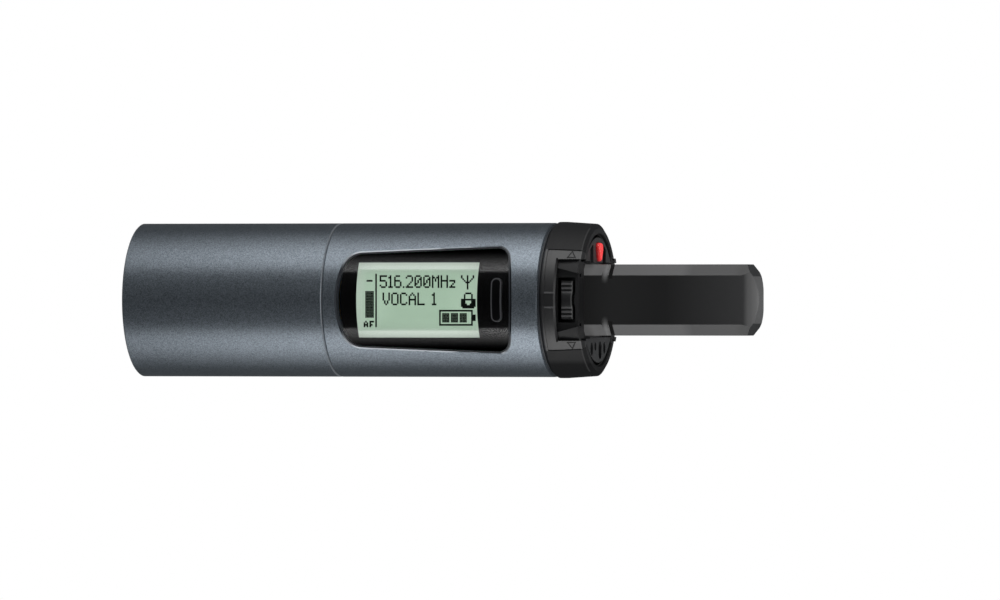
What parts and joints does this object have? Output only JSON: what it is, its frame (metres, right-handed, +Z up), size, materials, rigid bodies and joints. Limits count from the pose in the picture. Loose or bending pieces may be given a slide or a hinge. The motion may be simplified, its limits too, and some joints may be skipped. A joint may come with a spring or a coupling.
{
  "type": "handheld wireless transmitter body",
  "caption": "Round metal radio microphone transmitter body with curved display window, turning protection cap, ribbed rocker, red power button and flat stub antenna.",
  "frame": {"origin": "centre of the microphone module socket's mouth, on the long axis", "axes": "+X along the barrel from the socket towards the antenna tip, display facing -Y, +Z up"},
  "size_m": [0.1664, 0.0406, 0.0406],
  "materials": {
    "casing_paint": "satin metallic",
    "thread_metal": "turned",
    "circuit_board": "solder mask",
    "contact_gold": "plated",
    "steel": "plain",
    "nickel_spring": "plated",
    "frame_plastic": "moulded",
    "cap_plastic": "moulded",
    "end_plastic": "moulded",
    "antenna_plastic": "moulded",
    "rocker_plastic": "ribbed",
    "window_clear": "gloss",
    "window_print": "gloss",
    "gasket_rubber": "moulded",
    "plug_plastic": "gloss",
    "display_cell": "satin",
    "diffuser_white": "satin",
    "chip_resin": "moulded",
    "connector_plastic": "moulded",
    "diode_lens": "gloss",
    "led_lens": "gloss",
    "cell_wrap": "printed film",
    "flex_film": "film",
    "button_red": "satin"
  },
  "bodies": {
    "casing": {"upper_casing": "casing_paint", "capsule_thread_ring": "thread_metal", "capsule_contact_board": "circuit_board", "contact_rings": "contact_gold", "contact_carrier": "frame_plastic", "carrier_screws": "steel"},
    "coupling": {"coupling_ring": "thread_metal"},
    "chassis": {"guide_collar": "frame_plastic", "chassis_frame": "frame_plastic", "lower_sleeve": "casing_paint", "window_gasket": "gasket_rubber", "display_window": "window_clear", "switch_blank_plug": "plug_plastic", "window_mask": "window_print", "lcd_panel": "display_cell", "lcd_frame": "frame_plastic", "backlight_diffuser": "diffuser_white", "display_board": "circuit_board", "display_chips": "chip_resin", "radio_board": "circuit_board", "shield_can": "nickel_spring", "radio_chips": "chip_resin", "board_connector": "connector_plastic", "infrared_diode": "diode_lens", "status_led": "led_lens", "battery_tray": "frame_plastic", "battery_cover": "frame_plastic", "battery_cells": "cell_wrap", "battery_contacts": "nickel_spring", "link_pins": "contact_gold", "signal_flex": "flex_film", "control_housing": "end_plastic", "sleeve_seal": "gasket_rubber", "end_plate": "end_plastic", "end_plate_screws": "steel", "power_switch": "chip_resin", "button_board": "circuit_board", "rocker_switch": "chip_resin", "cap_detent_spring": "nickel_spring", "antenna_radome": "antenna_plastic", "antenna_element": "circuit_board", "antenna_feed_clip": "nickel_spring"},
    "protection_cap": {"protection_cap": "cap_plastic"},
    "rocker_plunger": {"rocker_plunger": "rocker_plastic", "rocker_pin": "steel"},
    "rocker": {"rocker": "rocker_plastic"},
    "power_button": {"power_button": "button_red"}
  },
  "joints": [
    {"name": "casing_unscrew", "type": "hinge", "parent": "casing", "child": "coupling", "pos_m": [0.0509, 0, 0], "axis": [1, 0, 0], "range_deg": [0, 90]},
    {"name": "battery_pull_out", "type": "slide", "parent": "coupling", "child": "chassis", "axis": [1, 0, 0], "range_m": [0, 0.038]},
    {"name": "cap_turn", "type": "hinge", "parent": "chassis", "child": "protection_cap", "pos_m": [0.1175, 0, 0], "axis": [1, 0, 0], "range_deg": [0, 90]},
    {"name": "select_press", "type": "slide", "parent": "chassis", "child": "rocker_plunger", "axis": [0, 1, 0], "range_m": [0, 0.0008]},
    {"name": "select_tilt", "type": "hinge", "parent": "rocker_plunger", "child": "rocker", "pos_m": [0.1189, -0.0145, 0], "axis": [1, 0, 0], "range_deg": [-6, 6]},
    {"name": "power_press", "type": "slide", "parent": "chassis", "child": "power_button", "axis": [-1, 0, 0], "range_m": [0, 0.0008]}
  ]
}
